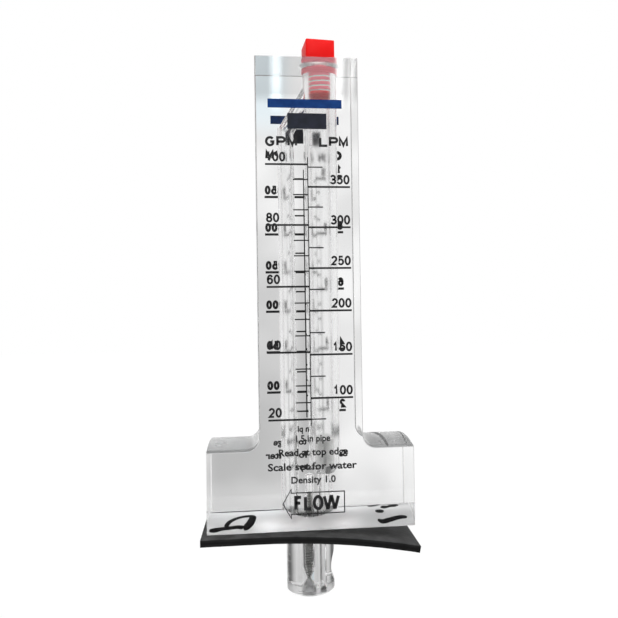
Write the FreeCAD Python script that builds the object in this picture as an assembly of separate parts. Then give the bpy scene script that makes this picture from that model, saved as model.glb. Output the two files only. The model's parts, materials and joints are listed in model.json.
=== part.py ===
import FreeCAD, Part
import math
import os

Vector = FreeCAD.Vector

# Millimetres. Z is up, X runs along the pipe and the front face looks along -Y.
# Z = 0 is at the two lips of the saddle, and the upstream side is +X.

# Pipe and gasket
pipe_radius = 24.13
gasket_thickness = 2.4
gasket_length = 79.0
gasket_width = 42.0
gasket_shift = -0.5
gasket_flat_length = 20.0
gasket_droop = 6.0
gasket_hole_clearance = 2.05

# Clear body
saddle_length = 76.2
body_depth = 31.75
body_height = 174.1
tower_width = 38.1
shoulder_height = 29.4
shoulder_crown = 1.7
root_fillet = 4.8

# Metering bore, slightly wider at its head than at its foot, with a coned seat below it
bore_offset = 5.6
bore_foot_diameter = 11.6
seat_height = 21.6
ledge_height = 18.4
ledge_diameter = 6.9
feed_diameter = 5.6
port_countersink = 1.2

# Return bore beside it. A slanted hole joins its head to the port, and its foot opens in the hollow,
# in a flute down the probe's side.
return_offset = -7.7
return_diameter = 6.35
return_flute_depth = 6.0
link_drop = 25.4
link_tilt = 30.8
link_diameter = 6.1
link_cover = 1.5
drill_point_angle = 118.0

# Probe, with its impact hole on the pipe's axis
probe_diameter = 18.3
spigot_height = 6.0
tip_overhang = 5.7
tip_bevel = 0.8
scoop_radius = 11.6
scoop_depth = 1.7
scoop_lift = 3.6
passage_diameter = 1.8
passage_offset = 3.2
passage_plug_length = 0.9
impact_hole_diameter = 1.6
centre_hole_offset = -0.4
centre_hole_diameter = 3.44
centre_hole_height = 18.9
neck_diameter = 1.0
neck_rise = 5.4
neck_seat_length = 4.2
mouth_diameter = 3.7
mouth_depth = 4.8

# Needle screw in the probe's middle hole
screw_top_height = 11.0
screw_lift = 0.4
screw_point_diameter = 0.9
screw_point_length = 4.2

# Float
float_diameter = 10.8
float_nose_diameter = 6.1
float_height = 13.6
float_bevel = 0.4
float_headroom = 0.5

# Plug in the top port
plug_thread_diameter = 13.9
plug_thread_length = 12.6
plug_taper = 1 / 16
plug_neck_height = 1.0
plug_head_width = 11.2
plug_head_height = 10.0
plug_head_turn = 6.0
plug_bevel = 0.6

# Places that follow from the sizes
tolerance = 0.001
half_depth = body_depth / 2
half_tower = tower_width / 2
saddle_radius = pipe_radius + gasket_thickness
pipe_axis_z = -math.sqrt(saddle_radius ** 2 - half_depth ** 2)
underside_crown_z = pipe_axis_z + saddle_radius
tip_z = pipe_axis_z - tip_overhang
port_floor_z = body_height - plug_thread_length
link_z = body_height - link_drop
seat_slope = (bore_foot_diameter - ledge_diameter) / 2 / (seat_height - ledge_height)
neck_z = tip_z + neck_rise
seat_top_z = neck_z + neck_seat_length
screw_shoulder_z = seat_top_z + screw_lift


def upright(radius, low, high, x=0.0):
    return Part.makeCylinder(radius, high - low, Vector(x, 0, low))


def upright_cone(low_radius, high_radius, low, high, x=0.0):
    return Part.makeCone(low_radius, high_radius, high - low, Vector(x, 0, low))


def crosswise(radius, start_x, end_x, z):
    return Part.makeCylinder(radius, end_x - start_x, Vector(start_x, 0, z), Vector(1, 0, 0))


def drilled(diameter, low, high, x=0.0):
    # A hole drilled upwards, with the drill's point at its end
    radius = diameter / 2
    straight_top = high - radius / math.tan(math.radians(drill_point_angle / 2))
    return upright(radius, low, straight_top, x).fuse(upright_cone(radius, 0, straight_top, high, x))


def slanted_link():
    tilt = math.radians(link_tilt)
    reach = (bore_offset - return_offset) / math.sin(tilt)
    way = Vector(math.sin(tilt), 0, math.cos(tilt))
    return Part.makeCylinder(link_diameter / 2, reach, Vector(return_offset, 0, link_z), way)


def plug_radius(z):
    return (plug_thread_diameter + (z - body_height) * plug_taper) / 2


def saddle_block():
    end_x = -saddle_length / 2
    front_lip = Vector(end_x, -half_depth, 0)
    front_edge = Vector(end_x, -half_depth, shoulder_height)
    crown = Vector(end_x, 0, shoulder_height + shoulder_crown)
    back_edge = Vector(end_x, half_depth, shoulder_height)
    back_lip = Vector(end_x, half_depth, 0)
    hollow = Vector(end_x, 0, underside_crown_z)
    outline = Part.Wire([
        Part.makeLine(front_lip, front_edge),
        Part.Arc(front_edge, crown, back_edge).toShape(),
        Part.makeLine(back_edge, back_lip),
        Part.Arc(back_lip, hollow, front_lip).toShape(),
    ])
    return Part.Face(outline).extrude(Vector(saddle_length, 0, 0))


def is_tower_root(edge):
    box = edge.BoundBox
    on_side = box.XLength < tolerance and abs(abs(box.XMax) - half_tower) < tolerance
    return on_side and box.YLength > body_depth - tolerance and box.ZMax < body_height - tolerance


def meter_body():
    tower_base = shoulder_height / 2
    tower = Part.makeBox(tower_width, body_depth, body_height - tower_base,
                         Vector(-half_tower, -half_depth, tower_base))
    block = saddle_block().fuse(tower).removeSplitter()
    block = block.makeFillet(root_fillet, [edge for edge in block.Edges if is_tower_root(edge)])
    spigot_hole = upright(probe_diameter / 2, pipe_axis_z, spigot_height)
    feed = upright(feed_diameter / 2, spigot_height, ledge_height, bore_offset)
    seat = upright_cone(ledge_diameter / 2, bore_foot_diameter / 2, ledge_height, seat_height, bore_offset)
    bore = upright_cone(bore_foot_diameter / 2, plug_radius(port_floor_z),
                        seat_height, port_floor_z, bore_offset)
    port = upright_cone(plug_radius(port_floor_z), plug_radius(body_height),
                        port_floor_z, body_height, bore_offset)
    countersink = upright_cone(plug_radius(body_height), plug_radius(body_height) + port_countersink,
                               body_height - port_countersink, body_height, bore_offset)
    return_bore = upright(return_diameter / 2, pipe_axis_z, link_z + link_cover, return_offset)
    centre_hole = drilled(centre_hole_diameter, spigot_height, centre_hole_height, centre_hole_offset)
    ways = [spigot_hole, feed, seat, bore, port, countersink, return_bore, slanted_link(),
            centre_hole]
    return block.cut(ways).removeSplitter()


def is_tip_edge(edge):
    box = edge.BoundBox
    return abs(box.ZMax - tip_z) < tolerance and box.XLength > probe_diameter - tolerance


def pitot_probe():
    probe_radius = probe_diameter / 2
    rod = upright(probe_radius, tip_z, spigot_height)
    rod = rod.makeChamfer(tip_bevel, [edge for edge in rod.Edges if is_tip_edge(edge)])
    scoop_centre = Vector(probe_radius + scoop_radius - scoop_depth, -probe_diameter,
                          pipe_axis_z + scoop_lift)
    scoop = Part.makeCylinder(scoop_radius, 2 * probe_diameter, scoop_centre, Vector(0, 1, 0))
    passage = upright(passage_diameter / 2, tip_z, spigot_height, passage_offset)
    impact_hole = crosswise(impact_hole_diameter / 2, passage_offset, probe_diameter, pipe_axis_z)
    centre_hole = upright(centre_hole_diameter / 2, seat_top_z, spigot_height, centre_hole_offset)
    seat = upright_cone(neck_diameter / 2, centre_hole_diameter / 2, neck_z, seat_top_z, centre_hole_offset)
    neck = upright(neck_diameter / 2, tip_z, neck_z, centre_hole_offset)
    mouth = upright_cone(mouth_diameter / 2, neck_diameter / 2, tip_z, tip_z + mouth_depth, centre_hole_offset)
    flute = upright(return_diameter / 2, -return_flute_depth, spigot_height, return_offset)
    return rod.cut([scoop, passage, impact_hole, centre_hole, seat, neck, mouth, flute])


def passage_plug():
    return upright(passage_diameter / 2, tip_z, tip_z + passage_plug_length, passage_offset)


def needle_screw():
    radius = centre_hole_diameter / 2
    point = upright_cone(screw_point_diameter / 2, radius,
                         screw_shoulder_z - screw_point_length, screw_shoulder_z, centre_hole_offset)
    shank = upright(radius, screw_shoulder_z, screw_top_height, centre_hole_offset)
    return shank.fuse(point).removeSplitter()


def metering_float():
    outer = float_diameter / 2
    nose = float_nose_diameter / 2
    cone_top_z = ledge_height + (outer - nose) / seat_slope
    top_z = ledge_height + float_height
    section = Part.makePolygon([
        Vector(bore_offset, 0, ledge_height),
        Vector(bore_offset + nose, 0, ledge_height),
        Vector(bore_offset + outer, 0, cone_top_z),
        Vector(bore_offset + outer, 0, top_z - float_bevel),
        Vector(bore_offset + outer - float_bevel, 0, top_z),
        Vector(bore_offset, 0, top_z),
        Vector(bore_offset, 0, ledge_height),
    ])
    return Part.Face(section).revolve(Vector(bore_offset, 0, 0), Vector(0, 0, 1), 360)


def top_plug():
    head_base_z = body_height + plug_neck_height
    head_top_z = head_base_z + plug_head_height
    shank = upright_cone(plug_radius(port_floor_z), plug_radius(head_base_z),
                         port_floor_z, head_base_z, bore_offset)
    corner = Vector(bore_offset - plug_head_width / 2, -plug_head_width / 2, head_base_z)
    head = Part.makeBox(plug_head_width, plug_head_width, plug_head_height, corner)
    upper_edges = [edge for edge in head.Edges if edge.BoundBox.ZMax > head_top_z - tolerance]
    head = head.makeChamfer(plug_bevel, upper_edges)
    head.rotate(Vector(bore_offset, 0, 0), Vector(0, 0, 1), plug_head_turn)
    return shank.fuse(head).removeSplitter()


def saddle_gasket():
    # Flat under the downstream lips, then one gentle arc down to the loose end
    left = gasket_shift - gasket_length / 2
    bend_x = left + gasket_flat_length
    run = gasket_length - gasket_flat_length
    upper_radius = (run ** 2 + gasket_droop ** 2) / (2 * gasket_droop)
    lower_radius = upper_radius - gasket_thickness
    bend_angle = math.asin(run / upper_radius)

    def on_bend(radius, share):
        angle = bend_angle * share
        x = bend_x + radius * math.sin(angle)
        return Vector(x, -gasket_width / 2, radius * math.cos(angle) - upper_radius)

    upper_left = Vector(left, -gasket_width / 2, 0)
    lower_left = Vector(left, -gasket_width / 2, -gasket_thickness)
    outline = Part.Wire([
        Part.makeLine(upper_left, on_bend(upper_radius, 0)),
        Part.Arc(on_bend(upper_radius, 0), on_bend(upper_radius, 0.5), on_bend(upper_radius, 1)).toShape(),
        Part.makeLine(on_bend(upper_radius, 1), on_bend(lower_radius, 1)),
        Part.Arc(on_bend(lower_radius, 1), on_bend(lower_radius, 0.5), on_bend(lower_radius, 0)).toShape(),
        Part.makeLine(on_bend(lower_radius, 0), lower_left),
        Part.makeLine(lower_left, upper_left),
    ])
    sheet = Part.Face(outline).extrude(Vector(0, gasket_width, 0))
    return sheet.cut(upright(probe_diameter / 2 + gasket_hole_clearance, tip_z, underside_crown_z))


pieces = {
    "meter_body": meter_body,
    "pitot_probe": pitot_probe,
    "passage_plug": passage_plug,
    "needle_screw": needle_screw,
    "metering_float": metering_float,
    "top_plug": top_plug,
    "saddle_gasket": saddle_gasket,
}

os.makedirs("parts", exist_ok=True)
for node, build in pieces.items():
    build().exportStep("parts/" + node + ".step")
print("float travel", round(port_floor_z - ledge_height - float_height - float_headroom, 3))
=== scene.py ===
import json
import math
import bmesh
import bpy
from mathutils import Matrix, Vector

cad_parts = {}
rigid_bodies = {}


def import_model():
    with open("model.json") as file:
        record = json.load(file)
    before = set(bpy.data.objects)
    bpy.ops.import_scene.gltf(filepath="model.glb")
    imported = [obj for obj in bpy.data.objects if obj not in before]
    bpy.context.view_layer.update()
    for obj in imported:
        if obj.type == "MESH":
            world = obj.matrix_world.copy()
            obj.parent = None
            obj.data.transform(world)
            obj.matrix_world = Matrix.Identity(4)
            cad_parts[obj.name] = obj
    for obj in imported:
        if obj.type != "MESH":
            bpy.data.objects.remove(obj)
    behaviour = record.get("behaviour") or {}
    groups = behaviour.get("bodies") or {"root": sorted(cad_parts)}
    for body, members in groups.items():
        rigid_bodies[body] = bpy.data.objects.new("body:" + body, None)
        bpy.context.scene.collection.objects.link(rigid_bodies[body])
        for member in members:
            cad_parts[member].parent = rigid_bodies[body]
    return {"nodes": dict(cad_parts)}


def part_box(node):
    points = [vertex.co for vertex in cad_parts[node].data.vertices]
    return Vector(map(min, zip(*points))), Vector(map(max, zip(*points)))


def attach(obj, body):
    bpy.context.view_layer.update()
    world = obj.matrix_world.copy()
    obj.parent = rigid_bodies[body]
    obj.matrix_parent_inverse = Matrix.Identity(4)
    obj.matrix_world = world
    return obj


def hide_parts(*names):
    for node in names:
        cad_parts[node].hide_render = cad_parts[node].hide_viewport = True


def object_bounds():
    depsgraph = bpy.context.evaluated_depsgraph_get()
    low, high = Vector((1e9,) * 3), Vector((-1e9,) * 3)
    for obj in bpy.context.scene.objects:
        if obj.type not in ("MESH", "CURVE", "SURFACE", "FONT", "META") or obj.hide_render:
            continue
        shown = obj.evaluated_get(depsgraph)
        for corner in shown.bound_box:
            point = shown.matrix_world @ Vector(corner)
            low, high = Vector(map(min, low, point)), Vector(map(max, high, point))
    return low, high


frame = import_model()
cadLow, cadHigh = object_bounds()
scene = bpy.context.scene
mm = 0.001
weldDistance = 1e-8  # metres, within which points of a mesh are one
print("frame loaded:", len(frame["nodes"]), "nodes")


# shared tools: all sizes below are in millimetres, in the frame of the solids

def boxMm(node):
    low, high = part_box(node)
    return low / mm, high / mm


def meshFrom(name, points, faces):
    mesh = bpy.data.meshes.new(name)
    mesh.from_pydata([Vector(p) * mm for p in points], [], faces)
    work = bmesh.new()
    work.from_mesh(mesh)
    bmesh.ops.remove_doubles(work, verts=work.verts, dist=weldDistance)
    bmesh.ops.recalc_face_normals(work, faces=work.faces)
    work.to_mesh(mesh)
    work.free()
    return mesh


def mergeParts(parts):
    points, faces = [], []
    for partPoints, partFaces in parts:
        start = len(points)
        points += partPoints
        faces += [[start + i for i in face] for face in partFaces]
    return points, faces


def placeMesh(mesh, place, degrees, axis):
    turn = Matrix.Rotation(math.radians(degrees), 4, axis)
    mesh.transform(Matrix.Translation(Vector(place) * mm) @ turn)
    return mesh


def loose(name, data):
    piece = bpy.data.objects.new(name, data)
    scene.collection.objects.link(piece)
    return piece


def bakeShape(piece):
    graph = bpy.context.evaluated_depsgraph_get()
    old = piece.data
    piece.data = bpy.data.meshes.new_from_object(piece.evaluated_get(graph))
    piece.modifiers.clear()
    bpy.data.meshes.remove(old)


def carve(piece, cutter, operation="DIFFERENCE"):
    step = piece.modifiers.new("carve", "BOOLEAN")
    step.operation = operation
    step.solver = "EXACT"
    step.object = cutter
    bakeShape(piece)
    bpy.data.objects.remove(cutter)


def softenEdges(piece, width, angle=35, segments=2):
    step = piece.modifiers.new("soften", "BEVEL")
    step.width = width * mm
    step.segments = segments
    step.limit_method = "ANGLE"
    step.angle_limit = math.radians(angle)
    bakeShape(piece)


def giveFinishes(mesh, finishes, choose):
    # choose gives the name of a face's finish
    for finish in finishes.values():
        mesh.materials.append(finish)
    numbers = {name: number for number, name in enumerate(finishes)}
    for face in mesh.polygons:
        face.material_index = numbers[choose(face)]


def finishPiece(piece, material, body, nodes=(), smoothAngle=18):
    # a piece that has its finishes already comes without a material
    mesh = piece.data
    mesh.name = piece.name
    if material:
        mesh.materials.clear()
        mesh.materials.append(material)
    mesh.polygons.foreach_set("use_smooth", [True] * len(mesh.polygons))
    mesh.set_sharp_from_angle(angle=math.radians(smoothAngle))
    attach(piece, body)
    if nodes:
        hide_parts(*nodes)
    return piece


def spin(name, rows, steps, x=0.0):
    # rows of (radius, z), from the axis and back to it; a radius may be a function of the angle
    points, rings, faces = [], [], []
    for radius, z in rows:
        ring = []
        for k in range(1 if radius == 0 else steps):
            angle = 2 * math.pi * k / steps
            reach = radius(angle) if callable(radius) else radius
            ring.append(len(points))
            points.append((x + reach * math.cos(angle), reach * math.sin(angle), z))
        rings.append(ring)
    for one, two in zip(rings, rings[1:]):
        for k in range(steps):
            corners = [one[k % len(one)], one[(k + 1) % len(one)]]
            corners += [two[(k + 1) % len(two)], two[k % len(two)]]
            faces.append(list(dict.fromkeys(corners)))
    return meshFrom(name, points, faces)


def spinRod(name, radius, low, high, steps, x=0.0):
    return spin(name, [(0, low), (radius, low), (radius, high), (0, high)], steps, x)


def ridge(phase, breadth):
    # one turn of a V thread: up, a narrow flat, down, a wider flat
    phase = phase % 1
    return max(0.0, min(1.0, 1.5 - abs(phase - 0.5) / breadth))


def threadRows(low, high, core, crest, pitch, fade, datum=0.0, breadth=0.22, rowsPerPitch=12):
    # core and crest give radii at z; the thread dies out over fade at both ends, and datum sets its turn
    def radiusAt(z, share):
        def radius(angle):
            turn = (z - datum) / pitch - angle / (2 * math.pi)
            return core(z) + (crest(z) - core(z)) * share * ridge(turn, breadth)
        return radius

    rows = []
    count = int((high - low) / pitch * rowsPerPitch)
    for i in range(count + 1):
        z = low + (high - low) * i / count
        share = max(0.0, min(1.0, (z - low) / fade, (high - z) / fade))
        rows.append((radiusAt(z, share), z))
    return rows


def plate(corners, low, high):
    # a flat convex plate between two levels of its own print plane
    count = len(corners)
    points = [(a, b, low) for a, b in corners] + [(a, b, high) for a, b in corners]
    faces = [list(range(count))[::-1], list(range(count, 2 * count))]
    faces += [[i, (i + 1) % count, count + (i + 1) % count, count + i] for i in range(count)]
    return points, faces


def sheetBetween(upper, lower):
    # a closed sheet between two grids of points of the same size
    rows, columns = len(upper), len(upper[0])
    points = [p for grid in (upper, lower) for row in grid for p in row]

    def at(level, i, j):
        return (level * rows + i) * columns + j

    faces = []
    for i in range(rows - 1):
        for j in range(columns - 1):
            spots = (i, j), (i + 1, j), (i + 1, j + 1), (i, j + 1)
            faces += [[at(level, *spot) for spot in spots] for level in (0, 1)]
    rim = [(i, 0) for i in range(rows - 1)] + [(rows - 1, j) for j in range(columns - 1)]
    rim += [(i, columns - 1) for i in range(rows - 1, 0, -1)] + [(0, j) for j in range(columns - 1, 0, -1)]
    for one, two in zip(rim, rim[1:] + rim[:1]):
        faces.append([at(0, *one), at(0, *two), at(1, *two), at(1, *one)])
    return points, faces


# materials: each is a node tree of its own, with the even values on the shader's sockets

def startMaterial(name, sockets):
    material = bpy.data.materials.new(name)
    material.use_nodes = True
    shader = material.node_tree.nodes["Principled BSDF"]
    for socket, value in sockets.items():
        shader.inputs[socket].default_value = value
    return material, shader


def addNode(material, kind, **values):
    node = material.node_tree.nodes.new(kind)
    for name, value in values.items():
        setattr(node, name, value)
    return node


def join(material, source, target):
    material.node_tree.links.new(source, target)


def grainValue(material, scale, low=0.0, high=1.0, stretch=(1, 1, 1), detail=4.0, spread=(0.3, 0.7)):
    # soft noise in the piece's own frame, mapped between two values
    place = addNode(material, "ShaderNodeTexCoord")
    fit = addNode(material, "ShaderNodeMapping")
    fit.inputs["Scale"].default_value = stretch
    noise = addNode(material, "ShaderNodeTexNoise")
    noise.inputs["Scale"].default_value = scale
    noise.inputs["Detail"].default_value = detail
    remap = addNode(material, "ShaderNodeMapRange")
    remap.inputs["From Min"].default_value, remap.inputs["From Max"].default_value = spread
    remap.inputs["To Min"].default_value, remap.inputs["To Max"].default_value = low, high
    join(material, place.outputs["Object"], fit.inputs["Vector"])
    join(material, fit.outputs["Vector"], noise.inputs["Vector"])
    join(material, noise.outputs["Fac"], remap.inputs["Value"])
    return remap.outputs["Result"]


def addRoughness(material, shader, scale, low, high, stretch=(1, 1, 1)):
    join(material, grainValue(material, scale, low, high, stretch), shader.inputs["Roughness"])


def addBump(material, shader, height, strength, distance):
    bump = addNode(material, "ShaderNodeBump")
    bump.inputs["Strength"].default_value = strength
    bump.inputs["Distance"].default_value = distance * mm
    join(material, height, bump.inputs["Height"])
    join(material, bump.outputs["Normal"], shader.inputs["Normal"])


def addTint(material, shader, value, dark, light):
    blend = addNode(material, "ShaderNodeMix", data_type="RGBA")
    colour = [s for s in blend.inputs if s.name in "AB" and s.type == "RGBA"]
    colour[0].default_value = (*dark, 1)
    colour[1].default_value = (*light, 1)
    join(material, value, blend.inputs["Factor"])
    join(material, [s for s in blend.outputs if s.type == "RGBA"][0], shader.inputs["Base Color"])


def clearAcrylic(name, roughness, wear, clarity=1.0, tone=0.988):
    material, shader = startMaterial(name, {
        "Base Color": (tone, tone, tone, 1), "Transmission Weight": clarity, "IOR": 1.49})
    addRoughness(material, shader, 60, roughness, roughness + wear)
    addBump(material, shader, grainValue(material, 90, detail=2), strength=0.05, distance=0.02)
    return material


def turnedSteel(name, dark, light, roughness, wear=0.15):
    material, shader = startMaterial(name, {"Metallic": 1.0})
    addTint(material, shader, grainValue(material, 300), dark, light)
    addRoughness(material, shader, 500, roughness, roughness + wear, stretch=(1, 1, 12))
    addBump(material, shader, grainValue(material, 400, stretch=(1, 1, 20)), strength=0.15, distance=0.03)
    return material


def matteMoulding(name, dark, light):
    material, shader = startMaterial(name, {"Specular IOR Level": 0.12})
    addTint(material, shader, grainValue(material, 120), dark, light)
    addRoughness(material, shader, 260, 0.3, 0.45)
    addBump(material, shader, grainValue(material, 500), strength=0.1, distance=0.05)
    return material


def blackRubber():
    # a dusty, mottled sheet, lighter where it faces up or down, so its cut edges get painted shade and its
    # bevels a painted highlight
    material, shader = startMaterial("blackRubber", {"Specular IOR Level": 0.1})
    facing = addNode(material, "ShaderNodeNewGeometry")
    split = addNode(material, "ShaderNodeSeparateXYZ")
    flat = addNode(material, "ShaderNodeMath", operation="ABSOLUTE")
    dustAndPaintedLight = addNode(material, "ShaderNodeMath", operation="MULTIPLY")
    join(material, facing.outputs["Normal"], split.inputs[0])
    join(material, split.outputs["Z"], flat.inputs[0])
    join(material, flat.outputs[0], dustAndPaintedLight.inputs[0])
    join(material, grainValue(material, 200, low=0.22, detail=9), dustAndPaintedLight.inputs[1])
    # the tint follows the face's slope: dust on flat faces, painted shade on cut edges, a painted highlight
    # on bevels
    addTint(material, shader, dustAndPaintedLight.outputs[0], (0.004, 0.004, 0.004), (0.068, 0.068, 0.068))
    addRoughness(material, shader, 200, 0.55, 0.8)
    addBump(material, shader, grainValue(material, 900, detail=6), strength=0.35, distance=0.12)
    return material


def flatColour(name, dark, light, roughness, gloss, spread=0.06):
    # ink and plain plastic, slightly mottled
    material, shader = startMaterial(name, {"Specular IOR Level": gloss})
    addTint(material, shader, grainValue(material, 400), dark, light)
    addRoughness(material, shader, 300, roughness - spread, roughness + spread)
    return material


acrylics = dict(  # finishes of the clear block and rod: roughness and wear
    polished=clearAcrylic("polishedAcrylic", 0.0, 0.02),
    drilled=clearAcrylic("drilledAcrylic", 0.2, 0.1),
    milled=clearAcrylic("milledAcrylic", 0.34, 0.1, clarity=0.9),
    sawn=clearAcrylic("sawnAcrylic", 0.2, 0.1, clarity=0.77),
    # rough, with a dark tone that paints shade on edge lines and in the probe's mouth
    roughPaintedShade=clearAcrylic("roughPaintedShadeAcrylic", 0.3, 0.15, clarity=0.8, tone=0.4),
    reamed=clearAcrylic("reamedAcrylic", 0.14, 0.08),
    # a darker tone that paints shade on the right shoulder
    sawnPaintedShade=clearAcrylic("sawnPaintedShadeAcrylic", 0.2, 0.1, clarity=0.77, tone=0.6))
plugReds = dict(  # the bare plastic, a lighter red on the thread that paints light, and a white for the thread's top and free roots
    bare=matteMoulding("redPlastic", (0.74, 0.003, 0.003), (0.81, 0.004, 0.004)),
    # a lighter copy of the red that paints light on the thread
    paintedLit=matteMoulding("paintedLitRed", (0.95, 0.12, 0.17), (1.0, 0.20, 0.26)),
    whiteThread=matteMoulding("whiteThreadColour", (0.93, 0.86, 0.83), (1.0, 0.97, 0.94)))
screwSteel = turnedSteel("screwSteel", (0.24, 0.24, 0.23), (0.46, 0.46, 0.45), 0.22)
floatSteel = turnedSteel("floatSteel", (0.84, 0.84, 0.83), (0.95, 0.95, 0.94), 0.35)
rubber = blackRubber()
darkPlastic = flatColour("darkStopper", (0.12, 0.12, 0.12), (0.22, 0.22, 0.22), 0.5, 0.4, spread=0.1)
blackInk = flatColour("blackInk", (0.006, 0.006, 0.007), (0.014, 0.014, 0.015), 0.45, 0.3)
blueInk = flatColour("blueInk", (0.004, 0.024, 0.105), (0.009, 0.042, 0.165), 0.4, 0.06)
navyInk = flatColour("navyInk", (0.010, 0.012, 0.018), (0.016, 0.018, 0.030), 0.4, 0.15)
smearInk = flatColour("smearInk", (0.10, 0.10, 0.10), (0.20, 0.20, 0.20), 0.6, 0.05)
# this ink also paints the shade line along the hollow's crown
markerAndShadeInk = flatColour("markerAndShadeInk", (0.002, 0.002, 0.002), (0.006, 0.006, 0.007), 0.5, 0.03)
print("materials ready")


# clear body and probe: a lofted block and a turned rod in one clear mesh, with all the ways cut into it

bodyShape = dict(
    towerWidth=38.1, shoulderHeight=29.4, shoulderCrown=1.7, rootFillet=4.8, hollowRadius=26.53,
    stations=40, filletSteps=10, supportLoop=0.5, edgeSoftness=0.22, paintedShadeStrip=2.0)
boreShape = dict(
    offset=5.6, footDiameter=11.6, seatHeight=21.6, ledgeHeight=18.4, ledgeDiameter=6.9, feedDiameter=5.6,
    countersink=1.2, returnOffset=-7.7, returnDiameter=6.35, fluteDepth=6.0, linkDrop=25.4, linkTilt=30.8,
    linkDiameter=6.1, linkCover=1.5, steps=256, linkSteps=160)
probeShape = dict(
    diameter=18.3, tipBevel=0.8, collarFoot=-1.5, scoopRadius=11.6, scoopDepth=1.7, scoopLift=3.6,
    passageDiameter=1.8, passageOffset=3.2, impactDiameter=1.6, holeOffset=-0.4, holeDiameter=3.44,
    holeTop=18.9, neckDiameter=1.0, neckRise=5.4, neckSeat=4.2, mouthDiameter=3.7, mouthStraight=2.4,
    mouthDepth=4.8, mouthMargin=0.1, drillAngle=118.0, scoopReach=20.0,
    steps=192, scoopSteps=256, centreSteps=128, passageSteps=72, impactSteps=64)
plugShape = dict(
    threadDiameter=13.9, threadLength=12.6, taper=1 / 16, neckHeight=1.0, pitch=1.8, threadDepth=0.75,
    threadFade=0.5, crestBreadth=0.42, turnDrop=0.6, portDiameter=13.16, squeeze=0.02, looseGap=0.12,
    tightLength=3.3, leadLength=2.4, leadDepth=1.3, whiteThreadTop=1.1, whiteThreadRoot=0.7,
    headWidth=11.2, headTurn=6.0, headSink=0.3, headSoftness=0.45, steps=160)
faceLimits = dict(level=0.5, corner=0.2, upright=0.05, near=1.0)  # of a face's normal, and its distance
cutSpare = 1.0  # how far a cutter reaches past the face that it opens
bodyLow, bodyHigh = boxMm("meter_body")
probeLow, probeHigh = boxMm("pitot_probe")
halfDepth = (bodyHigh.y - bodyLow.y) / 2
hollowAxisZ = -math.sqrt(bodyShape["hollowRadius"] ** 2 - halfDepth ** 2)
portFloor = bodyHigh.z - plugShape["threadLength"]
threadDatum = bodyHigh.z - plugShape["turnDrop"]
linkZ = bodyHigh.z - boreShape["linkDrop"]
neckZ = probeLow.z + probeShape["neckRise"]


def hollowZ(y):
    return hollowAxisZ + math.sqrt(bodyShape["hollowRadius"] ** 2 - y * y)


def shoulderZ(y):
    crown = bodyShape["shoulderCrown"]
    radius = (halfDepth ** 2 + crown ** 2) / (2 * crown)
    return bodyShape["shoulderHeight"] + crown - radius + math.sqrt(radius ** 2 - y * y)


def bodySection(y):
    # half of the front outline, from the hollow up the right side, then mirrored
    half = bodyShape["towerWidth"] / 2
    fillet = bodyShape["rootFillet"]
    spare = bodyShape["supportLoop"]
    low = shoulderZ(y)
    right = [(bodyHigh.x, hollowZ(y)), (bodyHigh.x, low), (half + fillet + spare, low)]
    for i in range(bodyShape["filletSteps"] + 1):
        turn = math.radians(90) * i / bodyShape["filletSteps"]
        right.append((half + fillet * (1 - math.sin(turn)), low + fillet * (1 - math.cos(turn))))
    right += [(half, low + fillet + spare), (half, bodyHigh.z)]
    return right + [(-x, z) for x, z in reversed(right)]


def plugRadius(z):
    return (plugShape["threadDiameter"] + (z - bodyHigh.z) * plugShape["taper"]) / 2


def plugCore(z):
    # root of the plug's thread: squeezed against the port near its top, with a lead at its lower end
    if boreShape["countersink"] < bodyHigh.z - z < plugShape["tightLength"]:
        return plugShape["portDiameter"] / 2 + plugShape["squeeze"]
    lead = max(0.0, 1 - (z - portFloor) / plugShape["leadLength"])
    return plugRadius(z) - plugShape["threadDepth"] - plugShape["leadDepth"] * lead


def plugCrest(z):
    # the crests bite into the straight port near its top and stand off it lower down
    if bodyHigh.z - z > plugShape["tightLength"]:
        return plugShape["portDiameter"] / 2 - plugShape["looseGap"]
    return plugRadius(z)


def blockFinish(face):
    # the hollow is left as milled and the shoulders as sawn, the right one darker with painted shade
    x, y, z = face.center / mm
    across, back, up = face.normal
    tower = z > bodyShape["shoulderHeight"] and abs(up) < faceLimits["upright"]
    corner = tower and min(abs(across), abs(back)) > faceLimits["corner"]
    behind = z > bodyHigh.z - faceLimits["near"] and min(back, up) > faceLimits["corner"]
    if corner or behind:
        return "roughPaintedShade"  # edges that were never polished, with a dark tone that paints shade along them
    if up > faceLimits["level"] and z < bodyHigh.z / 2:
        # a strip along the shoulders' front edge gets the same painted shade
        if y < bodyLow.y + bodyShape["paintedShadeStrip"]:
            return "roughPaintedShade"
        return "sawnPaintedShade" if x > 0 else "sawn"
    if up < -faceLimits["level"] and z < hollowZ(0) + faceLimits["near"]:
        return "milled"
    return "polished"


def buildBlock():
    points, faces = [], []
    rows = bodyShape["stations"]
    for j in range(rows + 1):
        y = bodyLow.y + (bodyHigh.y - bodyLow.y) * j / rows
        section = bodySection(y)
        points += [(x, y, z) for x, z in section]
    count = len(section)
    for j in range(rows):
        for i in range(count):
            k = (i + 1) % count
            faces.append([j * count + i, j * count + k, (j + 1) * count + k, (j + 1) * count + i])
    faces.append(list(range(count)))
    faces.append(list(range(rows * count, (rows + 1) * count)))
    block = loose("clear_body", meshFrom("clear_body", points, faces))
    softenEdges(block, bodyShape["edgeSoftness"])
    giveFinishes(block.data, acrylics, blockFinish)
    return block


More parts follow.
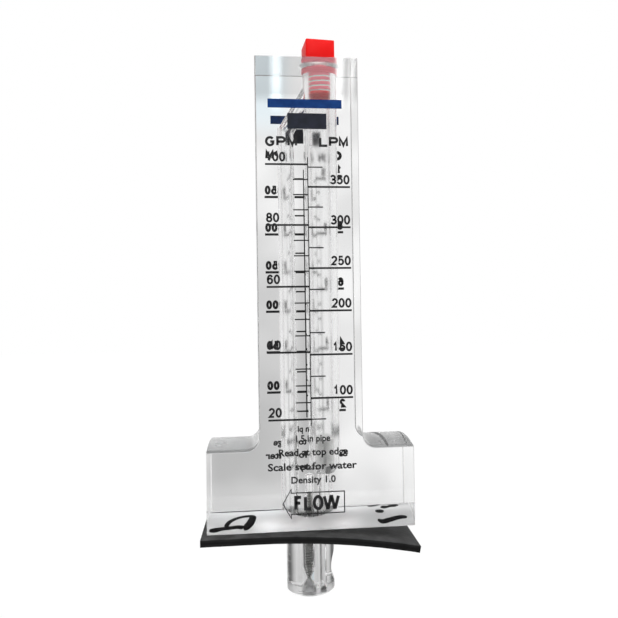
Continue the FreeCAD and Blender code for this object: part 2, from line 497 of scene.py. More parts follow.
def buildRod():
    p = probeShape
    radius = p["diameter"] / 2
    bevelTop = probeLow.z + p["tipBevel"]
    rows = [(0, probeLow.z), (radius - p["tipBevel"], probeLow.z), (radius, bevelTop),
            (radius, p["collarFoot"]), (radius, probeHigh.z), (0, probeHigh.z)]
    rod = loose("rod", spin("rod", rows, p["steps"]))
    scoop = spinRod("scoop", p["scoopRadius"], -p["scoopReach"], p["scoopReach"], p["scoopSteps"])
    middle = (radius + p["scoopRadius"] - p["scoopDepth"], 0, hollowAxisZ + p["scoopLift"])
    carve(rod, loose("scoop", placeMesh(scoop, middle, 90, "X")))

    def rodFinish(face):  # the tip is left as sawn, and so is a collar under the saddle
        return "polished" if bevelTop < face.center.z / mm < p["collarFoot"] else "sawn"

    giveFinishes(rod.data, acrylics, rodFinish)
    return rod


def meteringWay():
    b = boreShape
    feed, ledge, foot = b["feedDiameter"] / 2, b["ledgeDiameter"] / 2, b["footDiameter"] / 2
    port, mouth = plugShape["portDiameter"] / 2, plugRadius(bodyHigh.z) + b["countersink"]
    top = bodyHigh.z + 2 * cutSpare
    rows = [(0, probeHigh.z), (feed, probeHigh.z), (feed, b["ledgeHeight"]), (ledge, b["ledgeHeight"]),
            (foot, b["seatHeight"]), (port, portFloor), (port, bodyHigh.z - b["countersink"]),
            (mouth, bodyHigh.z), (mouth, top), (0, top)]
    return spin("metering_way", rows, b["steps"], b["offset"])


def returnWay():
    b = boreShape
    low, high = -b["fluteDepth"], linkZ + b["linkCover"]
    return spinRod("return_way", b["returnDiameter"] / 2, low, high, b["steps"], b["returnOffset"])


def slantedLink():
    b = boreShape
    reach = (b["offset"] - b["returnOffset"]) / math.sin(math.radians(b["linkTilt"]))
    mesh = spinRod("slanted_link", b["linkDiameter"] / 2, 0, reach, b["linkSteps"])
    return placeMesh(mesh, (b["returnOffset"], 0, linkZ), b["linkTilt"], "Y")


def centreWay():
    p = probeShape
    mouth, neck, hole = p["mouthDiameter"] / 2, p["neckDiameter"] / 2, p["holeDiameter"] / 2
    foot, mouthTop = probeLow.z - cutSpare, probeLow.z + p["mouthDepth"]
    pointHeight = hole / math.tan(math.radians(p["drillAngle"] / 2))
    rows = [(0, foot), (mouth, foot), (mouth, probeLow.z + p["mouthStraight"]),
            (neck, mouthTop), (neck, neckZ), (hole, neckZ + p["neckSeat"]),
            (hole, p["holeTop"] - pointHeight), (0, p["holeTop"])]
    return spin("centre_way", rows, p["centreSteps"], p["holeOffset"])


def passageWay():
    p = probeShape
    low, high = probeLow.z - cutSpare, probeHigh.z + cutSpare
    return spinRod("passage", p["passageDiameter"] / 2, low, high, p["passageSteps"], p["passageOffset"])


def impactWay():
    p = probeShape
    mesh = spinRod("impact", p["impactDiameter"] / 2, p["passageOffset"], p["diameter"], p["impactSteps"])
    return placeMesh(mesh, (0, 0, hollowAxisZ), 90, "Y")


def cutWay(body, name, mesh, finish, paintedShadeBelow=-math.inf):
    giveFinishes(mesh, acrylics, lambda face: "roughPaintedShade" if face.center.z / mm < paintedShadeBelow else finish)
    carve(body, loose(name, mesh))


def buildBody():
    body = buildBlock()
    carve(body, buildRod(), "UNION")
    cutWay(body, "metering", meteringWay(), "drilled")
    cutWay(body, "back", returnWay(), "drilled")
    cutWay(body, "link", slantedLink(), "reamed")
    mouthTop = neckZ - probeShape["mouthMargin"]  # the mouth in the tip is rough, and a dark tone paints shade in it
    cutWay(body, "centre", centreWay(), "polished", mouthTop)
    cutWay(body, "passage", passageWay(), "polished")
    cutWay(body, "impact", impactWay(), "polished")
    return finishPiece(body, None, "meter", ("meter_body", "pitot_probe"))


clearBody = buildBody()
print("clear body:", len(clearBody.data.polygons), "faces")


# needle screw in the probe's middle hole, and the float at the foot of the metering bore

screwShape = dict(gap=0.06, threadDepth=0.42, pitch=1.0, pointDiameter=0.5, pointLength=5.4, pointReach=1.2,
                  steps=96)
floatShape = dict(diameter=10.8, noseDiameter=6.1, bevel=0.4, steps=192)
floatLow, floatHigh = boxMm("metering_float")
screwLow, screwHigh = boxMm("needle_screw")


def buildScrew():
    s = screwShape
    crest = probeShape["holeDiameter"] / 2 - s["gap"]
    core = crest - s["threadDepth"]
    tip = screwLow.z - s["pointReach"]  # the point reaches into the neck below it

    def coreRadius(z):
        share = min(1.0, (z - tip) / s["pointLength"])
        return s["pointDiameter"] / 2 + (core - s["pointDiameter"] / 2) * share

    def crestRadius(z):
        return coreRadius(z) + s["threadDepth"]

    rows = [(0, tip)]
    rows += threadRows(tip, screwHigh.z, coreRadius, crestRadius, s["pitch"], s["pointLength"] / 2)
    rows += [(0, screwHigh.z)]
    screw = loose("screw_turned", spin("screw_turned", rows, s["steps"], probeShape["holeOffset"]))
    return finishPiece(screw, screwSteel, "meter", ("needle_screw",), smoothAngle=40)


def buildFloat():
    f, b = floatShape, boreShape
    outer, nose = f["diameter"] / 2, f["noseDiameter"] / 2
    slope = (b["footDiameter"] - b["ledgeDiameter"]) / 2 / (b["seatHeight"] - b["ledgeHeight"])
    rows = [(0, floatLow.z), (nose, floatLow.z), (outer, floatLow.z + (outer - nose) / slope),
            (outer, floatHigh.z - f["bevel"]), (outer - f["bevel"], floatHigh.z), (0, floatHigh.z)]
    bob = loose("float_turned", spin("float_turned", rows, f["steps"], b["offset"]))
    return finishPiece(bob, floatSteel, "float", ("metering_float",))


buildScrew()
buildFloat()
print("screw and float ready")


# passage plug: a dark stopper, flush with the probe's tip

stopperShape = dict(edgeSoftness=0.12, steps=64)


def buildStopper():
    low, high = boxMm("passage_plug")
    middle, radius = (high.x + low.x) / 2, (high.x - low.x) / 2
    stopper = loose("stopper", spinRod("stopper", radius, low.z, high.z, stopperShape["steps"], middle))
    softenEdges(stopper, stopperShape["edgeSoftness"])
    return finishPiece(stopper, darkPlastic, "meter", ("passage_plug",))


buildStopper()
print("stopper ready")


# red plug: a thread that is tight in the port near its top, under a square head

def plugFinish(face):
    # white at the top of the thread and in its free roots, and a lighter red that paints light on the rest
    p = plugShape
    x, y, z = face.center / mm
    depth = bodyHigh.z - z
    if not 0 < depth < p["threadLength"] - p["leadLength"]:
        return "bare"
    turn = (z - threadDatum) / p["pitch"] - math.atan2(y, x - boreShape["offset"]) / (2 * math.pi)
    rooted = depth > p["tightLength"] and ridge(turn, p["crestBreadth"]) < p["whiteThreadRoot"]
    return "whiteThread" if depth < p["whiteThreadTop"] or rooted else "paintedLit"


def buildPlug():
    p = plugShape
    low, high = boxMm("top_plug")
    headBase = bodyHigh.z + p["neckHeight"]
    rows = [(0, low.z)]
    rows += threadRows(low.z, bodyHigh.z, plugCore, plugCrest, p["pitch"], p["threadFade"], threadDatum,
                       p["crestBreadth"])
    rows += [(plugRadius(bodyHigh.z) - p["threadDepth"], headBase), (0, headBase)]
    plug = loose("red_plug", spin("red_plug", rows, p["steps"], boreShape["offset"]))
    half = p["headWidth"] / 2
    corners = [(-half, -half), (half, -half), (half, half), (-half, half)]
    mesh = meshFrom("plug_head", *plate(corners, headBase - p["headSink"], high.z))
    head = loose("plug_head", placeMesh(mesh, (boreShape["offset"], 0, 0), p["headTurn"], "Z"))
    softenEdges(head, p["headSoftness"], segments=3)
    giveFinishes(head.data, plugReds, lambda face: "bare")
    giveFinishes(plug.data, plugReds, plugFinish)
    carve(plug, head, "UNION")
    return finishPiece(plug, None, "meter", ("top_plug",), smoothAngle=40)


redPlug = buildPlug()
print("red plug:", len(redPlug.data.polygons), "faces")


# gasket: a loose rubber sheet, flat under the left of the saddle and hanging to the right

gasketShape = dict(
    thickness=2.4, flatLength=20.0, droop=6.0, holeClearance=2.05, holeCut=(-20.0, 10.0), holeSteps=128,
    stationsX=80, stationsY=28, waver=0.12, waves=(0.31, 0.83), waveSkew=9, rimPower=8, edgeSoftness=0.2)
gasketLow, gasketHigh = boxMm("saddle_gasket")


def buildGasket():
    g = gasketShape
    bendX = gasketLow.x + g["flatLength"]
    run = gasketHigh.x - bendX
    radius = (run ** 2 + g["droop"] ** 2) / (2 * g["droop"])
    across, along = g["stationsY"], g["stationsX"]
    slow, fast = g["waves"]
    grids = []
    for level in (0.0, g["thickness"]):
        grid = []
        for i in range(along + 1):
            x = gasketLow.x + (gasketHigh.x - gasketLow.x) * i / along
            lean = math.asin(max(0.0, x - bendX) / radius)
            row = []
            for j in range(across + 1):
                share = j / across
                edge = max(abs(2 * share - 1) ** g["rimPower"], abs(2 * i / along - 1) ** g["rimPower"])
                wave = math.sin(slow * x) + math.sin(fast * x + g["waveSkew"] * share)
                pull = g["waver"] * edge * wave / 2
                y = gasketLow.y + (gasketHigh.y - gasketLow.y) * share
                y -= abs(pull) * (1 if share > 0.5 else -1) * abs(2 * share - 1)
                row.append((x - level * math.sin(lean), y, (radius - level) * math.cos(lean) - radius))
            grid.append(row)
        grids.append(grid)
    sheet = loose("gasket_sheet", meshFrom("gasket_sheet", *sheetBetween(*grids)))
    hole = probeShape["diameter"] / 2 + g["holeClearance"]
    carve(sheet, loose("gasket_hole", spinRod("gasket_hole", hole, *g["holeCut"], g["holeSteps"])))
    softenEdges(sheet, g["edgeSoftness"], angle=60)
    return finishPiece(sheet, rubber, "meter", ("saddle_gasket",), smoothAngle=40)


buildGasket()
print("gasket ready")


# printing: thin ink slabs that cross the acrylic's face, so that they show from both of its sides

inkShape = dict(inside=0.03, outside=0.02, mitreLimit=0.45, touching=1e-6)
scaleMarks = dict(
    lineReach=15.6, minorReach=5.5, majorWidth=0.7, minorWidth=0.46,
    spineWidth=0.36, spineTop=136.8, spineFoot=38.0,
    gpm={100: 134.1, 80: 111.75, 60: 89.1, 40: 65.05, 20: 40.5}, gpmParts=4,
    lpm={350: 125.8, 300: 110.9, 250: 95.85, 200: 80.2, 150: 64.1, 100: 48.2}, lpmEnds=(133.1, 40.5),
    numberHeight=3.6, numberLift=0.95, numberInset=0.1, digitWidth=2.35, digitPitch=2.5, numberWeight=0.74,
    unitHeight=3.8, unitBase=140.6, unitLefts=(-15.5, 4.3), unitWidth=3.55, unitPitches=(4.1, 3.65),
    unitWeight=0.92)
captionMarks = dict(  # words, left, right, base and height
    lines=(("1.5 in pipe", -5.7, 6.9, 32.4, 2.5), ("Read at top edge", -12.0, 13.4, 27.4, 2.6),
           ("Scale set for water", -16.0, 16.6, 22.2, 2.7), ("Density 1.0", -7.6, 8.7, 17.4, 2.5)),
    weight=0.028, curveSteps=3, capitalShare=0.73)
arrowMarks = dict(
    tip=-10.7, neck=-7.7, tail=11.8, low=6.2, high=13.9, headLow=4.7, headHigh=15.3, lineWidth=0.4,
    wordLefts=(-6.65, -3.1, 0.1, 3.75), wordWidths=(3.1, 3.2, 4.0, 6.4), wordBase=7.35, wordHeight=5.5,
    wordWeight=1.15)
headMarks = dict(band=(-14.4, 12.9, 154.9, 158.2), box=(-7.25, 7.2, 147.2, 153.0))
printSides = (("front", False, 0.0, 1.0), ("back", True, -0.35, 1.32))  # name, behind, shift, boldness


def bar(left, right, low, high):
    return plate([(left, low), (right, low), (right, high), (left, high)], 0, 1)


def arc(x, y, reachX, reachY, start, end, stepAngle=15, leastSteps=4):
    steps = max(leastSteps, int(abs(end - start) / stepAngle))
    turns = [math.radians(start + (end - start) * i / steps) for i in range(steps + 1)]
    return [(x + reachX * math.cos(t), y + reachY * math.sin(t)) for t in turns]


# centre lines of the plain capitals and digits, each in a box of one by one
glyphLines = {
    "0": [arc(0.5, 0.5, 0.5, 0.5, 0, 360)],
    "1": [[(0.1, 0.76), (0.4, 0.82), (0.58, 1), (0.58, 0)]],
    "2": [arc(0.5, 0.7, 0.48, 0.3, 170, -25) + [(0.02, 0), (1, 0)]],
    "3": [arc(0.48, 0.75, 0.44, 0.25, 160, -90) + arc(0.48, 0.26, 0.52, 0.26, 90, -160)],
    "4": [[(0.74, 0), (0.74, 1), (0, 0.27), (1.02, 0.27)]],
    "5": [[(0.92, 1), (0.2, 1), (0.07, 0.48)] + arc(0.48, 0.32, 0.52, 0.32, 135, -158)],
    "6": [arc(0.5, 0.31, 0.48, 0.31, 0, 360), arc(0.54, 0.5, 0.54, 0.5, 35, 190)],
    "8": [arc(0.5, 0.76, 0.43, 0.24, 0, 360), arc(0.5, 0.27, 0.5, 0.27, 0, 360)],
    "G": [arc(0.52, 0.5, 0.52, 0.5, 42, 325) + [(0.97, 0.46), (0.56, 0.46)]],
    "P": [[(0, 0), (0, 1)] + arc(0.6, 0.73, 0.4, 0.27, 90, -90) + [(0, 0.46)]],
    "M": [[(0, 0), (0, 1), (0.5, 0.08), (1, 1), (1, 0)]],
    "L": [[(0, 1), (0, 0), (1, 0)]],
    "F": [[(0, 0), (0, 1), (1, 1)], [(0, 0.52), (0.86, 0.52)]],
    "O": [arc(0.5, 0.5, 0.5, 0.5, 0, 360)],
    "W": [[(0, 1), (0.22, 0.02), (0.28, 0.02), (0.47, 0.96), (0.53, 0.96),
           (0.72, 0.02), (0.78, 0.02), (1, 1)]]}


def ribbon(path, width):
    # a flat stroke along a path, mitred at its corners, as a slab from 0 to 1
    closed = (Vector(path[0]) - Vector(path[-1])).length < inkShape["touching"]
    spots = [Vector(p) for p in (path[:-1] if closed else path)]
    count = len(spots)
    rim = []
    for i, spot in enumerate(spots):
        before = spots[i - 1] if i or closed else None
        after = spots[(i + 1) % count] if i < count - 1 or closed else None
        ways = [(spot - before).normalized()] if before else []
        ways += [(after - spot).normalized()] if after else []
        normals = [Vector((-way.y, way.x)) for way in ways]
        side = sum(normals, Vector((0, 0))).normalized()
        side *= width / 2 / max(inkShape["mitreLimit"], side.dot(normals[0]))
        rim.append((spot + side, spot - side))
    points = [(*p, level) for level in (0, 1) for pair in rim for p in pair]
    low, faces = 2 * count, []
    for i in range(count if closed else count - 1):
        a, b, c, d = 2 * i, 2 * i + 1, (2 * i + 3) % low, (2 * i + 2) % low
        faces += [[a, b, c, d], [low + d, low + c, low + b, low + a]]
        faces += [[a, d, low + d, low + a], [b, low + b, low + c, c]]
    if not closed:
        faces += [[0, low, low + 1, 1], [low - 2, low - 1, 2 * low - 1, 2 * low - 2]]
    return points, faces


def glyphRow(words, left, base, height, width, pitch, weight):
    # a row of glyphs, width wide and pitch apart, drawn with strokes of one weight
    parts = []
    tall, wide = height - weight, width - weight
    for i, letter in enumerate(words):
        start, foot = left + i * pitch + weight / 2, base + weight / 2
        for path in glyphLines[letter]:
            parts.append(ribbon([(start + x * wide, foot + y * tall) for x, y in path], weight))
    return parts


def lettering(words, height, weight, left, right, base):
    # small words in the built-in font, fitted between two ends
    half = 0.5  # of a slab from 0 to 1
    curve = bpy.data.curves.new("words", "FONT")
    curve.body = words
    curve.resolution_u = captionMarks["curveSteps"]
    curve.offset = weight
    curve.extrude = half
    sample = loose("words", curve)
    bpy.context.view_layer.update()
    graph = bpy.context.evaluated_depsgraph_get()
    mesh = bpy.data.meshes.new_from_object(sample.evaluated_get(graph))
    bpy.data.objects.remove(sample)
    points = [tuple(v.co) for v in mesh.vertices]
    faces = [list(p.vertices) for p in mesh.polygons]
    bpy.data.meshes.remove(mesh)
    low, high = min(p[0] for p in points), max(p[0] for p in points)
    wide = (right - left) / (high - low)
    tall = height / captionMarks["capitalShare"]  # the font's capitals are lower than its size
    return [(left + (x - low) * wide, base + y * tall, z + half) for x, y, z in points], faces


def scaleParts(boldness):
    m = scaleMarks
    reach, short = m["lineReach"], m["minorReach"]
    major, minor = m["majorWidth"] * boldness / 2, m["minorWidth"] * boldness / 2
    spine = m["spineWidth"] * boldness / 2
    digit = dict(height=m["numberHeight"], width=m["digitWidth"], pitch=m["digitPitch"],
                 weight=m["numberWeight"] * boldness)
    parts = [bar(-spine, spine, m["spineFoot"], m["spineTop"])]
    gpm = sorted(m["gpm"].items())
    for value, z in gpm:
        parts.append(bar(-reach, 0, z - major, z + major))
        parts += glyphRow(str(value), -reach + m["numberInset"], z + m["numberLift"], **digit)
    for (_, low), (_, high) in zip(gpm, gpm[1:]):
        for i in range(1, m["gpmParts"]):
            z = low + (high - low) * i / m["gpmParts"]
            parts.append(bar(-short, 0, z - minor, z + minor))
    lpm = sorted(m["lpm"].items())
    length = 2 * m["digitPitch"] + m["digitWidth"]
    for value, z in lpm:
        parts.append(bar(0, reach, z - major, z + major))
        parts += glyphRow(str(value), reach - m["numberInset"] - length, z + m["numberLift"], **digit)
    middles = [(low + high) / 2 for (_, low), (_, high) in zip(lpm, lpm[1:])]
    for z in [*m["lpmEnds"], *middles]:
        parts.append(bar(0, short, z - minor, z + minor))
    for words, left, pitch in zip(("GPM", "LPM"), m["unitLefts"], m["unitPitches"]):
        parts += glyphRow(words, left, m["unitBase"], m["unitHeight"], m["unitWidth"], pitch,
                          m["unitWeight"] * boldness)
    for words, left, right, base, height in captionMarks["lines"]:
        parts.append(lettering(words, height, captionMarks["weight"] * boldness, left, right, base))
    return parts


def arrowParts():
    # the outlined flow arrow and its word
    a = arrowMarks
    middle = (a["low"] + a["high"]) / 2
    corners = [(a["tip"], middle), (a["neck"], a["headHigh"]), (a["neck"], a["high"]),
               (a["tail"], a["high"]), (a["tail"], a["low"]),
               (a["neck"], a["low"]), (a["neck"], a["headLow"]), (a["tip"], middle)]
    parts = [ribbon(corners, a["lineWidth"])]
    for letter, left, width in zip("FLOW", a["wordLefts"], a["wordWidths"]):
        parts += glyphRow(letter, left, a["wordBase"], a["wordHeight"], width, 0, a["wordWeight"])
    return parts


def printPiece(name, parts, ink, back=False, shift=0.0):
    thickness = inkShape["inside"] + inkShape["outside"]
    flat, faces = mergeParts(parts)
    points = []
    for a, b, level in flat:
        proud = level * thickness - inkShape["inside"]
        points.append((-a + shift, bodyHigh.y + proud, b) if back else (a, bodyLow.y - proud, b))
    return finishPiece(loose(name, meshFrom(name, points, faces)), ink, "meter")


for side, back, shift, boldness in printSides:
    printPiece(side + "_scale", scaleParts(boldness), blackInk, back, shift)
    printPiece(side + "_band", [bar(*headMarks["band"])], blueInk, back, shift)
    printPiece(side + "_plate", [bar(*headMarks["box"])], navyInk, back, shift)
printPiece("flow_arrow", arrowParts(), blackInk)
print("printing ready")


# marker strokes and a painted shade line along the crown of the saddle's hollow, and smears on its right
# shoulder: x, y, width

strokeShape = dict(across=6, pathSteps=8, taperRows=3, endShare=0.05)
markerStrokesAndCrownShade = dict(
    tail=((-37.4, -13.9, 1.2), (-35.5, -13.8, 2.0), (-32.7, -13.3, 1.6), (-29.9, -13.1, 1.6),
          (-27.2, -12.8, 1.7), (-25.2, -13.2, 2.0)),
    loop=((-31.3, -12.6, 1.7), (-31.0, -11.3, 1.7), (-29.9, -9.6, 1.7), (-27.7, -7.8, 1.6),
          (-25.2, -6.7, 1.6), (-22.6, -6.5, 2.0), (-21.8, -7.7, 2.6), (-22.6, -10.9, 3.0),
          (-24.0, -13.0, 2.8), (-25.2, -13.5, 2.1)),
    dash=((24.4, -12.3, 1.1), (26.1, -13.4, 2.1), (28.7, -12.8, 2.2), (31.4, -12.0, 2.1),
          (33.6, -11.6, 2.0), (35.6, -11.9, 1.2)),
    dot=((24.0, -7.0, 1.6), (25.5, -7.2, 2.6), (27.2, -7.8, 1.8)),
    upper=((26.6, -3.0, 2.4), (28.0, -3.5, 3.2), (29.6, -3.1, 2.0), (31.2, -2.3, 3.6),
           (32.4, -2.1, 3.0), (33.6, -2.4, 1.0)),
    faint=((21.7, -1.8, 1.6), (23.2, -1.4, 2.2), (24.7, -0.8, 2.0), (26.5, 0.2, 1.4)),
    # the crown line is painted shade along the hollow's crown, drawn in the marker ink
    crownShadeLeft=((-37.9, -0.7, 1.0), (-24.0, -0.7, 1.5), (-10.5, -0.7, 1.2)),
    crownShadeRight=((10.5, -0.6, 0.8), (24.0, -0.6, 0.5), (37.5, -0.6, 0.3)))
shoulderSmears = dict(
    broad=((26.0, 15.2, 1.5), (26.9, 9.0, 2.1), (27.7, 2.0, 1.7), (28.2, -6.0, 1.2), (28.4, -15.2, 0.9)),
    thin=((37.4, 14.0, 0.3), (36.9, 4.0, 0.5), (36.3, -6.0, 0.5), (35.8, -14.0, 0.3)))


def smoothPath(points, steps):
    # a smooth curve through points of any size
    path = []
    ends = [points[0], *points, points[-1]]
    for p0, p1, p2, p3 in zip(ends, ends[1:], ends[2:], ends[3:]):
        for i in range(steps):
            t = i / steps
            spot = []
            for a, b, c, d in zip(p0, p1, p2, p3):
                bend, twist = 2 * a - 5 * b + 4 * c - d, 3 * b - a - 3 * c + d
                spot.append(0.5 * (2 * b + (c - a) * t + bend * t * t + twist * t ** 3))
            path.append(spot)
    return path + [list(points[-1])]


def strokePart(points, surface, inward):
    # a thin stroke that follows a curved surface; inward is the way into the acrylic, up or down
    s = strokeShape
    path = smoothPath(points, s["pathSteps"])
    last = len(path) - 1
    shares = [2 * k / s["across"] - 1 for k in range(s["across"] + 1)]
    grids = [], []
    for i, (x, y, width) in enumerate(path):
        before, after = path[max(i - 1, 0)], path[min(i + 1, last)]
        along = Vector((after[0] - before[0], after[1] - before[1])).normalized()
        end = min(i, last - i) / s["taperRows"]
        half = width / 2 * math.sqrt(max(s["endShare"], 1 - max(0.0, 1 - end) ** 2))
        spots = [(x - along.y * half * t, y + along.x * half * t) for t in shares]
        for grid, level in zip(grids, (inkShape["inside"], -inkShape["outside"])):
            grid.append([(a, b, surface(b) + level * inward) for a, b in spots])
    return sheetBetween(*grids)


def buildStrokes(name, strokes, surface, inward, ink):
    points, faces = mergeParts([strokePart(spots, surface, inward) for spots in strokes.values()])
    return finishPiece(loose(name, meshFrom(name, points, faces)), ink, "meter")


buildStrokes("marker_strokes_and_crown_shade", markerStrokesAndCrownShade, hollowZ, 1, markerAndShadeInk)
buildStrokes("shoulder_smears", shoulderSmears, shoulderZ, -1, smearInk)
print("strokes and smears ready")


# floor, studio light and camera

stageShape = dict(floorDrop=60.0, floorSize=6000.0, floorColour=(0.93, 0.93, 0.93), floorGlow=0.97)
# each span maps a stretch of the direction, from start to end, onto two values
studio = dict(
    leftSpan=(-0.16, 0.31, 0.57, 0.96), leftTop=(0.25, 0.29, 0.0, 0.12), leftLow=(-0.26, -0.226, 0.12, 0.0),
    leftFoot=(-0.33, -0.29, 0.0, 1.0), leftMirror=(-0.345, -0.325, 0.09, 0.0),
    farLeft=(-0.13, -0.07, 1.0, 0.0),
    rightSpan=(0.068, 0.115, 0.0, 1.0), rightLow=(-0.36, -0.22, 0.6, 0.91), rightTop=(0.42, 0.6, 0.0, 0.3),
    topSpan=(0.302, 0.323, 0.0, 0.3), skySpan=(0.5, 0.75, 1.0, 0.0),
    windowX=(0.3, 0.5, 1.0, 0.0), windowY=(-0.3, 0.1, 0.7, 0.0), windowZ=(0.42, 0.6, 1.0, 0.0),
    sideSpan=(0.5, 0.75, 0.0, 0.8), sideFar=(0.86, 0.95, 1.0, 0.0), sideLow=(-0.315, -0.29, 1.0, 0.0),
    foldCentre=0.06, foldSpan=(0.0, 0.022, 0.16, 0.0), foldTop=(0.15, 0.3, 1.0, 0.0),
    cloudScale=7.0, cloudSpan=(0.35, 0.65, 0.9, 1.1),
    tintRise=(0.25, 0.3, 0.0, 1.0), tintFoot=(-0.345, -0.325, 1.0, 0.0), tintReach=(0.015, 0.045, 1.0, 0.0),
    tint=(0.87, 0.96, 1.0), glareSpan=(0.29, 0.34, 0.0, 1.0),
    glares=((0.0165, 0.013, 14.0), (0.1065, 0.011, 13.0), (0.1246, 0.008, 9.0), (0.07, 0.085, 3.0)),
    sunStrength=0.85, sunAngle=50.0, sunTurn=(35.0, 0.0, 25.0))
photoCamera = dict(place=(-15.45, -257.88, 78.35), yaw=-6.158, pitch=0.92, roll=0.862, focalPixels=660.5,
                   imageSize=618, centre=(338.5, 304.8), sensor=36.0, clipStart=10.0)
bounces = dict(clear=32, glossy=16)


def buildFloor():
    half = stageShape["floorSize"] / 2
    z = cadLow.z / mm - stageShape["floorDrop"]
    corners = [(-half, -half, z), (half, -half, z), (half, half, z), (-half, half, z)]
    mesh = meshFrom("floor", corners, [[0, 1, 2, 3]])
    floor = loose("floor", mesh)
    paint, shader = startMaterial("floorPaint", {"Roughness": 0.9, "Specular IOR Level": 0.1})
    shader.inputs["Base Color"].default_value = (*stageShape["floorColour"], 1)
    path = addNode(paint, "ShaderNodeLightPath")
    bent = addNode(paint, "ShaderNodeMath", operation="MAXIMUM")
    clear = addNode(paint, "ShaderNodeBsdfTransparent")
    choose = addNode(paint, "ShaderNodeMixShader")
    plain = addNode(paint, "ShaderNodeEmission")
    share = addNode(paint, "ShaderNodeMath", operation="MULTIPLY")
    share.inputs[1].default_value = stageShape["floorGlow"]
    paper = addNode(paint, "ShaderNodeMixShader")
    join(paint, path.outputs["Is Camera Ray"], share.inputs[0])
    join(paint, share.outputs[0], paper.inputs[0])
    join(paint, shader.outputs[0], paper.inputs[1])
    join(paint, plain.outputs[0], paper.inputs[2])
    join(paint, path.outputs["Is Transmission Ray"], bent.inputs[0])
    join(paint, path.outputs["Is Glossy Ray"], bent.inputs[1])
    join(paint, bent.outputs[0], choose.inputs[0])
    join(paint, paper.outputs[0], choose.inputs[1])
    join(paint, clear.outputs[0], choose.inputs[2])
    join(paint, choose.outputs[0], paint.node_tree.nodes["Material Output"].inputs["Surface"])
    mesh.materials.append(paint)


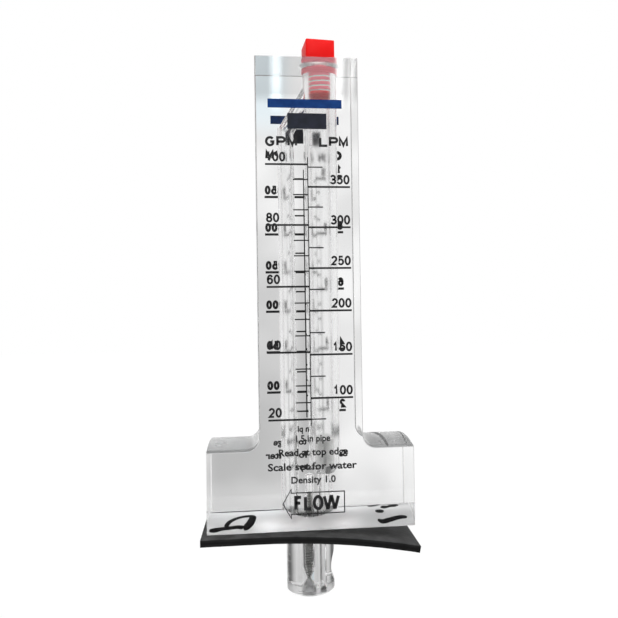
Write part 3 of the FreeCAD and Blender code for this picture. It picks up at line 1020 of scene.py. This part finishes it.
def buildWorld():
    world = bpy.data.worlds.new("studio")
    scene.world = world
    world.use_nodes = True
    nodes, links = world.node_tree.nodes, world.node_tree.links
    nodes.clear()
    s = studio

    def span(source, start, end, low, high):
        node = nodes.new("ShaderNodeMapRange")
        node.interpolation_type = "SMOOTHSTEP"
        for socket, value in zip(("From Min", "From Max", "To Min", "To Max"), (start, end, low, high)):
            node.inputs[socket].default_value = value
        links.new(source, node.inputs["Value"])
        return node.outputs["Result"]

    def sums(operation, first, *others):
        # a chain of nodes from left to right
        for other in others or (0.0,):
            node = nodes.new("ShaderNodeMath")
            node.operation = operation
            for socket, value in zip(node.inputs, (first, other)):
                if isinstance(value, float):
                    socket.default_value = value
                else:
                    links.new(value, socket)
            first = node.outputs[0]
        return first

    place = nodes.new("ShaderNodeTexCoord")
    split = nodes.new("ShaderNodeSeparateXYZ")
    links.new(place.outputs["Generated"], split.inputs[0])
    x, y, z = split.outputs
    wide, steep = sums("ABSOLUTE", x), sums("ABSOLUTE", z)
    # greyer low on the left, near the top and round the camera, more even on the right
    toRight = sums("ADD", span(x, *s["rightSpan"]), span(x, *s["farLeft"]))
    toLeft = sums("SUBTRACT", 1.0, toRight)
    leftLow = sums("MULTIPLY", span(z, *s["leftLow"]), span(z, *s["leftFoot"]))
    left = sums("ADD", span(z, *s["leftSpan"]), span(z, *s["leftTop"]), leftLow)
    left = sums("ADD", left, span(z, *s["leftMirror"]))  # seen in the top face
    right = sums("ADD", span(z, *s["rightLow"]), span(z, *s["rightTop"]))
    level = sums("ADD", sums("MULTIPLY", left, toLeft), sums("MULTIPLY", right, toRight))
    aside = sums("MULTIPLY", span(wide, *s["sideSpan"]), span(wide, *s["sideFar"]), span(z, *s["sideLow"]))
    above = sums("MULTIPLY", span(z, *s["topSpan"]), span(z, *s["skySpan"]))
    window = sums("MULTIPLY", span(wide, *s["windowX"]), span(y, *s["windowY"]), span(steep, *s["windowZ"]))
    fold = span(sums("ABSOLUTE", sums("SUBTRACT", x, s["foldCentre"])), *s["foldSpan"])
    fold = sums("MULTIPLY", fold, span(z, *s["foldTop"]))
    for shade in (aside, above, window, fold):
        level = sums("MULTIPLY", level, sums("SUBTRACT", 1.0, shade))
    clouds = nodes.new("ShaderNodeTexNoise")
    clouds.inputs["Scale"].default_value = s["cloudScale"]
    links.new(place.outputs["Generated"], clouds.inputs["Vector"])
    level = sums("MULTIPLY", level, span(clouds.outputs["Fac"], *s["cloudSpan"]))
    # tall soft lights behind the camera, which show in the front face
    behind = sums("MULTIPLY", sums("LESS_THAN", y, 0.0), span(z, *s["glareSpan"]))
    for centre, reach, strength in s["glares"]:
        away = sums("ABSOLUTE", sums("SUBTRACT", x, centre))
        level = sums("ADD", level, sums("MULTIPLY", behind, span(away, 0.0, reach, strength, 0.0)))
    tint = nodes.new("ShaderNodeMix")
    tint.data_type = "RGBA"
    colours = [c for c in tint.inputs if c.type == "RGBA"]
    colours[0].default_value = (1, 1, 1, 1)
    colours[1].default_value = (*s["tint"], 1)
    tinted = sums("ADD", span(z, *s["tintRise"]), span(z, *s["tintFoot"]))
    links.new(sums("MULTIPLY", tinted, span(wide, *s["tintReach"])), tint.inputs["Factor"])
    room = nodes.new("ShaderNodeBackground")
    links.new([c for c in tint.outputs if c.type == "RGBA"][0], room.inputs["Color"])
    links.new(level, room.inputs["Strength"])
    white = nodes.new("ShaderNodeBackground")
    white.inputs["Color"].default_value = (1, 1, 1, 1)
    path = nodes.new("ShaderNodeLightPath")
    choose = nodes.new("ShaderNodeMixShader")
    out = nodes.new("ShaderNodeOutputWorld")
    links.new(path.outputs["Is Camera Ray"], choose.inputs[0])
    links.new(room.outputs[0], choose.inputs[1])
    links.new(white.outputs[0], choose.inputs[2])
    links.new(choose.outputs[0], out.inputs["Surface"])


def buildSun():
    lamp = bpy.data.lights.new("key", "SUN")
    lamp.energy = studio["sunStrength"]
    lamp.angle = math.radians(studio["sunAngle"])
    key = loose("key", lamp)
    key.rotation_euler = [math.radians(a) for a in studio["sunTurn"]]


def buildCamera():
    c = photoCamera
    data = bpy.data.cameras.new("photo_camera")
    data.sensor_width = c["sensor"]
    data.lens = c["focalPixels"] * c["sensor"] / c["imageSize"]
    data.shift_x = 0.5 - c["centre"][0] / c["imageSize"]
    data.shift_y = c["centre"][1] / c["imageSize"] - 0.5
    data.clip_start = c["clipStart"] * mm
    yaw = Matrix.Rotation(math.radians(c["yaw"]), 3, "Z")
    pitch = Matrix.Rotation(math.radians(c["pitch"]), 3, "X")
    roll = Matrix.Rotation(math.radians(c["roll"]), 3, "Y")
    turn = yaw @ pitch @ roll
    right, forward, up = turn.col
    facing = Matrix((right, up, -forward)).transposed().to_4x4()
    camera = loose("photo_camera", data)
    camera.matrix_world = Matrix.Translation(Vector(c["place"]) * mm) @ facing
    scene.camera = camera


buildFloor()
buildWorld()
buildSun()
buildCamera()
scene.view_settings.view_transform = "Standard"
scene.cycles.max_bounces = bounces["clear"]
scene.cycles.transmission_bounces = bounces["clear"]
scene.cycles.glossy_bounces = bounces["glossy"]
print("stage ready")
